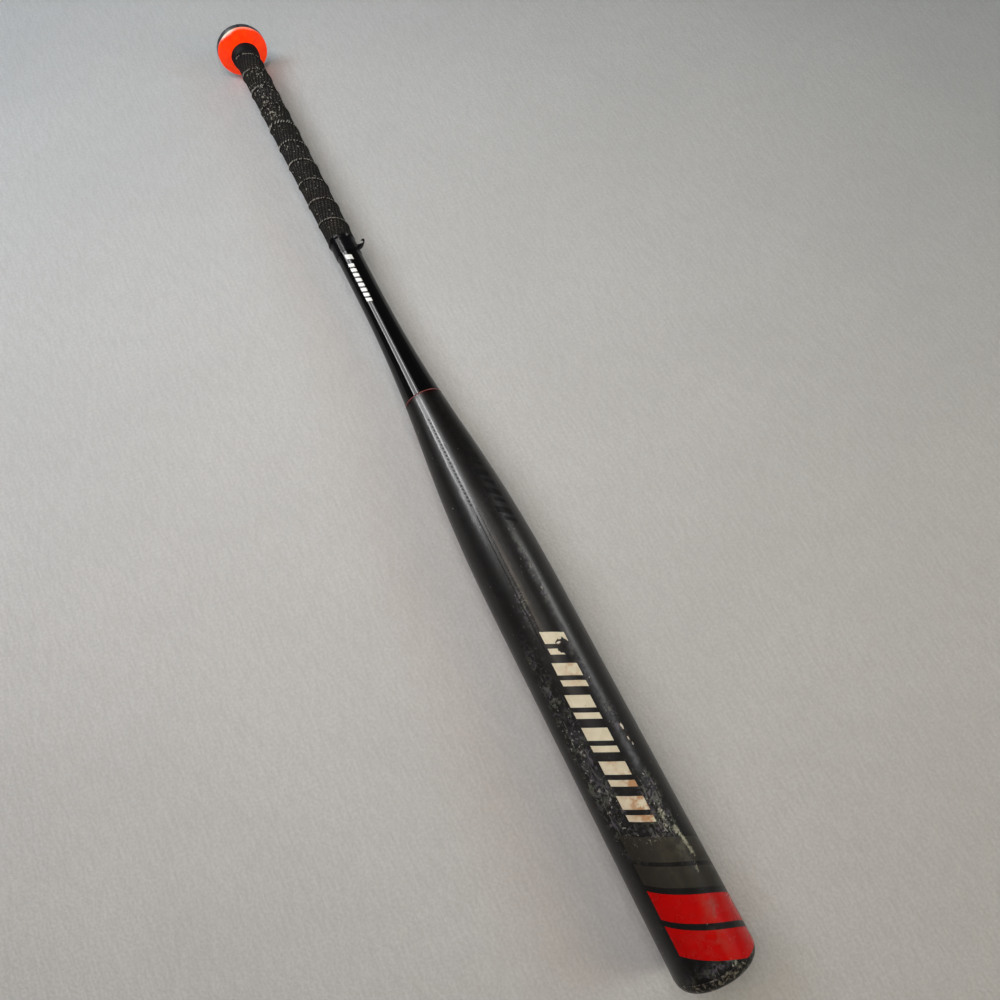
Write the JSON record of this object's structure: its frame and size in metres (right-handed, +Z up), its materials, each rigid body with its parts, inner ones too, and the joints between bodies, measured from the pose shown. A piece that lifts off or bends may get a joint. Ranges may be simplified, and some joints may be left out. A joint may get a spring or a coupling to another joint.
{
  "type": "softball bat",
  "caption": "Two-piece tapered softball bat with a taped grip, round knob, flared handle joint, hollow barrel and rounded end cap, lying on its side.",
  "frame": {"origin": "on the surface the barrel lies on, under the middle of the bat's length and under its axis", "axes": "+X along the bat's axis from the knob to the end cap, +Z up from the surface, +Y to the left of +X"},
  "size_m": [0.8636, 0.0572, 0.0571],
  "materials": {
    "barrel_paint": "satin clear coat over black paint, on a wound composite tube",
    "handle_paint": "gloss clear coat over black paint, on a wound composite tube",
    "joint_red": "thin red elastomer lip",
    "elastomer": "moulded elastomer",
    "foam": "cast urethane foam",
    "cap_urethane": "cast urethane, scuffed",
    "adhesive": "cured adhesive",
    "weight_rubber": "filled rubber",
    "knob_orange": "bright orange-red moulded urethane",
    "knob_black": "smooth dark moulded urethane",
    "badge": "plain film disc",
    "weight_steel": "turned steel",
    "underlay": "double-sided tape",
    "grip_cloth": "worn woven cloth tape",
    "vinyl_tape": "stretched vinyl tape"
  },
  "bodies": {
    "root": {"barrel_shell": "barrel_paint", "handle_tube": "handle_paint", "joint_ring": "joint_red", "joint_sleeve": "elastomer", "throat_plug": "foam", "end_cap": "cap_urethane", "end_cap_adhesive": "adhesive", "end_weight": "weight_rubber", "knob_flange": "knob_orange", "knob_base": "knob_black", "knob_badge": "badge", "knob_adhesive": "adhesive", "knob_weight": "weight_steel", "knob_foam_plug": "foam", "grip_underlay": "underlay", "grip_tape": "grip_cloth", "lower_band": "vinyl_tape", "finishing_band": "vinyl_tape"}
  },
  "joints": []
}
